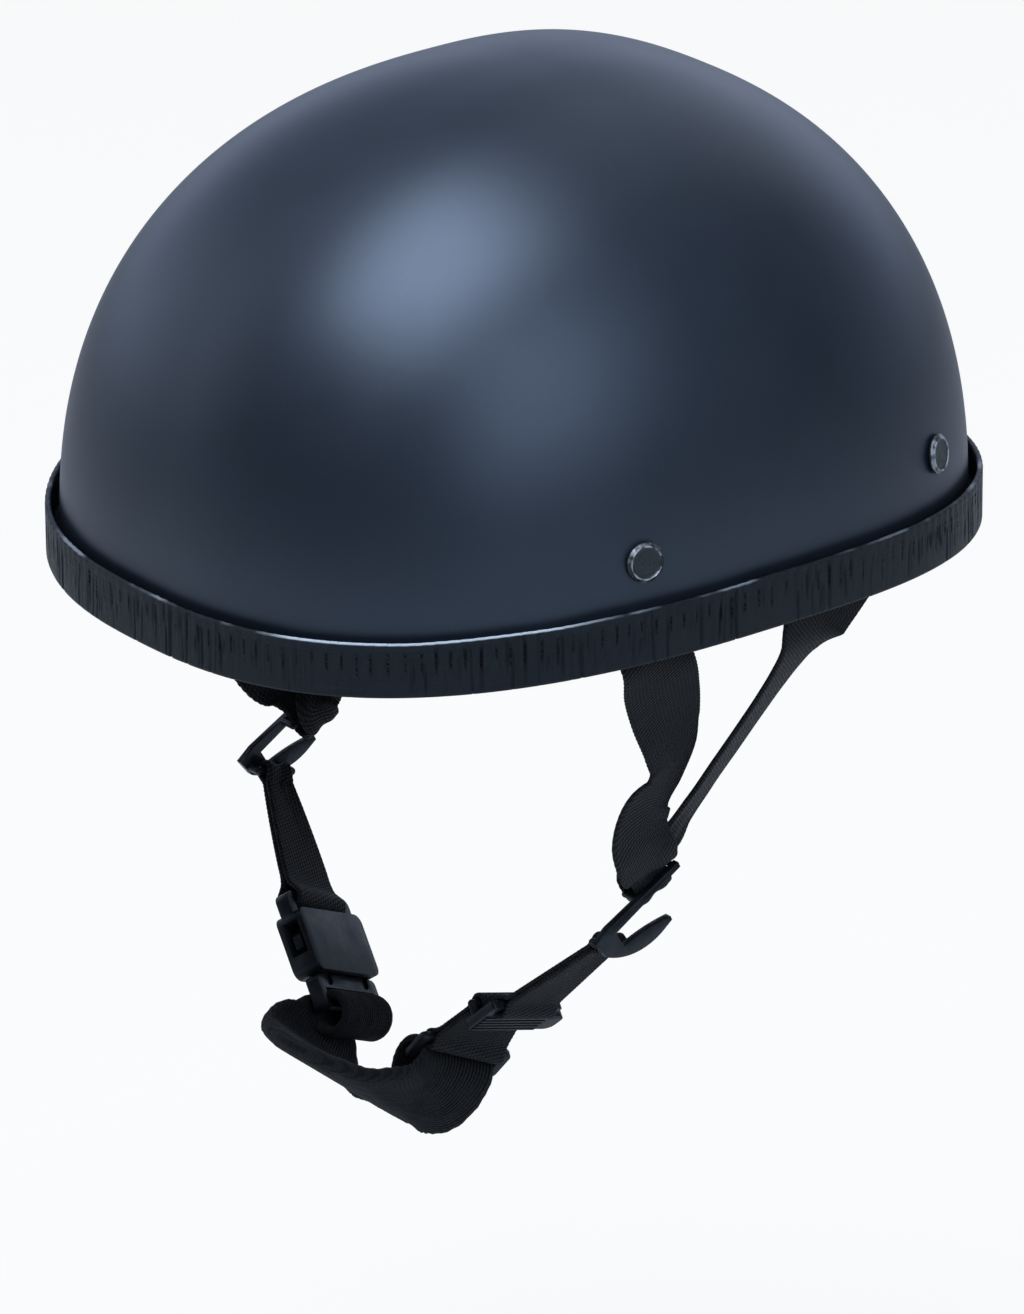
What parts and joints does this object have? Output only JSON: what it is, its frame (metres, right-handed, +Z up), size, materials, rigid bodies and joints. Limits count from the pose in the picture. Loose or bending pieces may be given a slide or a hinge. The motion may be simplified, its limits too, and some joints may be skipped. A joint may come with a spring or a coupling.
{
  "type": "half shell motorcycle helmet",
  "caption": "Half shell motorcycle helmet: smooth domed shell with a soft rim strip, foam and pads inside, riveted side straps, chin cup and side release buckle.",
  "frame": {"origin": "the middle of the head opening, level with the place where the shell's side walls start to lean in", "axes": "+Z up out of the crown, -Y the way the wearer faces, +X the wearer's left"},
  "size_m": [0.2318, 0.2658, 0.3179],
  "materials": {
    "shell": "satin black paint",
    "trim": "semi-matt black vinyl",
    "webbing": "woven black webbing",
    "foam": "dense black foam",
    "pad": "black knitted lining",
    "hardware": "semi-gloss moulded plastic",
    "rivet": "blackened, worn at the rim",
    "plate": "zinc plated",
    "ring": "black",
    "cup": "ribbed soft band"
  },
  "bodies": {
    "root": {"shell": "shell", "edge_trim": "trim", "foam_liner": "foam", "crown_pad": "pad", "brow_pad": "pad", "rear_pad": "pad", "side_pad_left": "pad", "side_pad_right": "pad", "front_rivet_left": "rivet", "front_rivet_right": "rivet", "rear_rivet_left": "rivet", "rear_rivet_right": "rivet", "front_anchor_plate_left": "plate", "front_anchor_plate_right": "plate", "rear_anchor_plate_left": "plate", "rear_anchor_plate_right": "plate", "front_strap_end_left": "webbing", "rear_strap_end_left": "webbing", "side_strap_right": "webbing", "slider_right": "hardware", "chin_strap_right": "webbing", "buckle_socket": "hardware"},
    "left_harness": {"side_strap_left": "webbing", "slider_left": "hardware", "chin_strap_left": "webbing", "strap_adjuster": "hardware", "cup_strap": "webbing", "cup_ring": "ring", "chin_cup": "cup", "buckle_insert": "hardware"},
    "prong_front": {"buckle_prong_front": "hardware"},
    "prong_rear": {"buckle_prong_rear": "hardware"}
  },
  "joints": [
    {"name": "harness_swing", "type": "hinge", "parent": "root", "child": "left_harness", "pos_m": [0.10303, -0.04, -0.008], "axis": [0.0135, -0.9775, 0.2107], "range_deg": [0, 75]},
    {"name": "prong_front_squeeze", "type": "hinge", "parent": "left_harness", "child": "prong_front", "pos_m": [-0.02716, -0.06013, -0.14805], "axis": [-0.6697, -0.4724, -0.573], "range_deg": [0, 12], "stiffness_Nm_per_rad": 0.01},
    {"name": "prong_rear_squeeze", "type": "hinge", "parent": "left_harness", "child": "prong_rear", "pos_m": [-0.03196, -0.04342, -0.15621], "axis": [0.6697, 0.4724, 0.573], "range_deg": [0, 12], "stiffness_Nm_per_rad": 0.01}
  ],
  "couplings": [
    {"joint": "prong_rear_squeeze", "follows": "prong_front_squeeze", "ratio": 1}
  ]
}
